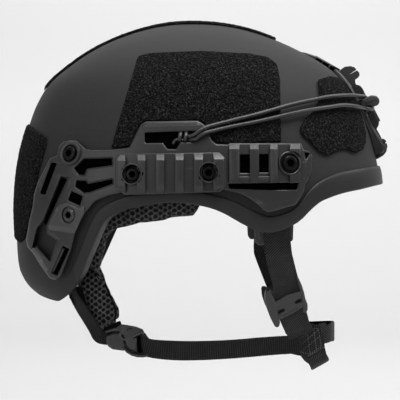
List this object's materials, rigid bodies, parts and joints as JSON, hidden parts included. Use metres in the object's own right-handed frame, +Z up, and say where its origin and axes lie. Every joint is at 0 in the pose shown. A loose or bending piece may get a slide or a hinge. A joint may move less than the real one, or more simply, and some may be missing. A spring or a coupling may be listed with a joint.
{
  "type": "combat helmet",
  "caption": "High-cut helmet shell with side accessory rails, front shroud, elastic retention cords, padded liner and a four-point chin harness with adjustable sliders.",
  "frame": {"origin": "mid-plane point at the height of the wearer's brow, inside the head cavity, halfway between the outermost points of the front and rear", "axes": "+X forward, +Y to the wearer's left, +Z up"},
  "size_m": [0.2872, 0.26, 0.2729],
  "materials": {
    "shell": "matt textured paint over moulded composite",
    "trim": "matt",
    "rail_plastic": "moulded nylon, fine grain",
    "shroud_plastic": "moulded nylon",
    "buckle_plastic": "satin",
    "loop_fastener": "brushed loop pile",
    "webbing": "ribbed woven webbing",
    "cord": "braided elastic cord",
    "mesh": "spacer mesh over foam",
    "foam": "closed-cell foam",
    "screws": "black"
  },
  "bodies": {
    "helmet": {"shell": "shell", "edge_trim": "trim", "crown_loop_strip": "loop_fastener", "side_loop_right": "loop_fastener", "side_loop_left": "loop_fastener", "rear_loop_panel": "loop_fastener", "front_loop_right": "loop_fastener", "front_loop_left": "loop_fastener", "side_rail_right": "rail_plastic", "side_rail_left": "rail_plastic", "rail_adapter_right": "rail_plastic", "rail_adapter_left": "rail_plastic", "adapter_screws": "screws", "rail_bolts": "screws", "shell_nuts": "screws", "shroud": "rail_plastic", "shroud_insert": "shroud_plastic", "shroud_bolts": "screws", "bungee_right": "cord", "bungee_left": "cord", "liner_crown": "foam", "liner_front": "foam", "liner_rear": "foam", "liner_right": "foam", "liner_left": "foam", "pad_crown": "mesh", "pad_front": "mesh", "pad_rear": "mesh", "pad_right": "mesh", "pad_left": "mesh", "nape_strap_right": "webbing", "nape_strap_left": "webbing", "nape_pad": "mesh", "buckle_socket_right": "buckle_plastic", "buckle_socket_left": "buckle_plastic", "strap_anchor_right": "buckle_plastic", "strap_anchor_left": "buckle_plastic"},
    "chin_harness": {"front_strap_right": "webbing", "front_strap_left": "webbing", "chin_joint_right": "webbing", "chin_joint_left": "webbing", "chin_front_strap": "webbing", "chin_under_strap": "webbing", "chin_strap_right": "webbing", "chin_strap_left": "webbing", "buckle_plug_right": "buckle_plastic", "buckle_plug_left": "buckle_plastic"},
    "slider_right": {"slider_right": "buckle_plastic"},
    "slider_left": {"slider_left": "buckle_plastic"}
  },
  "joints": [
    {"name": "chin_strap_swing", "type": "hinge", "parent": "helmet", "child": "chin_harness", "pos_m": [0.0544, 0, -0.015], "axis": [0, -1, 0], "range_deg": [0, 45]},
    {"name": "slider_right_slide", "type": "slide", "parent": "chin_harness", "child": "slider_right", "axis": [0.2455, 0.3489, -0.9045], "range_m": [-0.007, 0.01]},
    {"name": "slider_left_slide", "type": "slide", "parent": "chin_harness", "child": "slider_left", "axis": [0.3267, -0.2908, -0.8993], "range_m": [-0.007, 0.01]}
  ]
}
